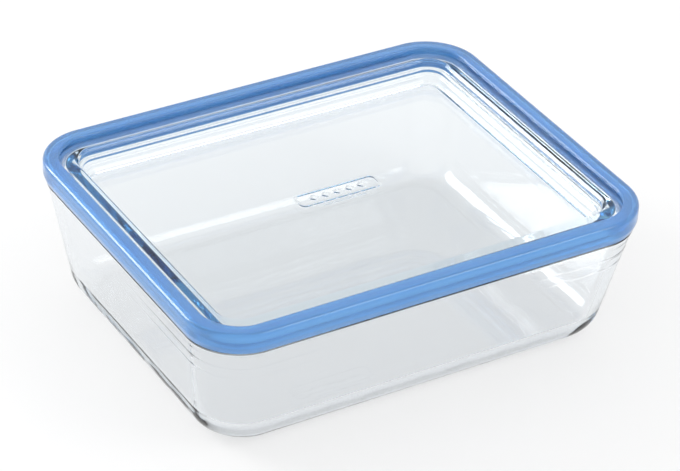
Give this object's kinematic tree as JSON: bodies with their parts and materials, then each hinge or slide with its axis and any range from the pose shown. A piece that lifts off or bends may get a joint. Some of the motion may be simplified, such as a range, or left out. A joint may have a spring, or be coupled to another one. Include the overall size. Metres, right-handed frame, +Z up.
{
  "type": "lidded glass storage dish",
  "caption": "Rectangular clear glass food storage dish with leaning walls and a sunken glass lid held in a blue soft plastic sealing ring that lifts off.",
  "frame": {"origin": "centre of the dish's flat base, on the surface it rests on", "axes": "+X along the long side, +Y across it, +Z up out of the base"},
  "size_m": [0.22, 0.175, 0.068],
  "materials": {
    "dish_glass": "clear pressed glass, smooth, fire polished",
    "lid_glass": "clear pressed glass, smooth, fire polished",
    "ring_plastic": "blue soft plastic, see-through and slightly frosted"
  },
  "bodies": {
    "dish": {"dish": "dish_glass"},
    "lid": {"lid_glass": "lid_glass", "sealing_ring": "ring_plastic"}
  },
  "joints": [
    {"name": "lid_lift", "type": "slide", "parent": "dish", "child": "lid", "axis": [0, 0, 1], "range_m": [0, 0.08]}
  ]
}
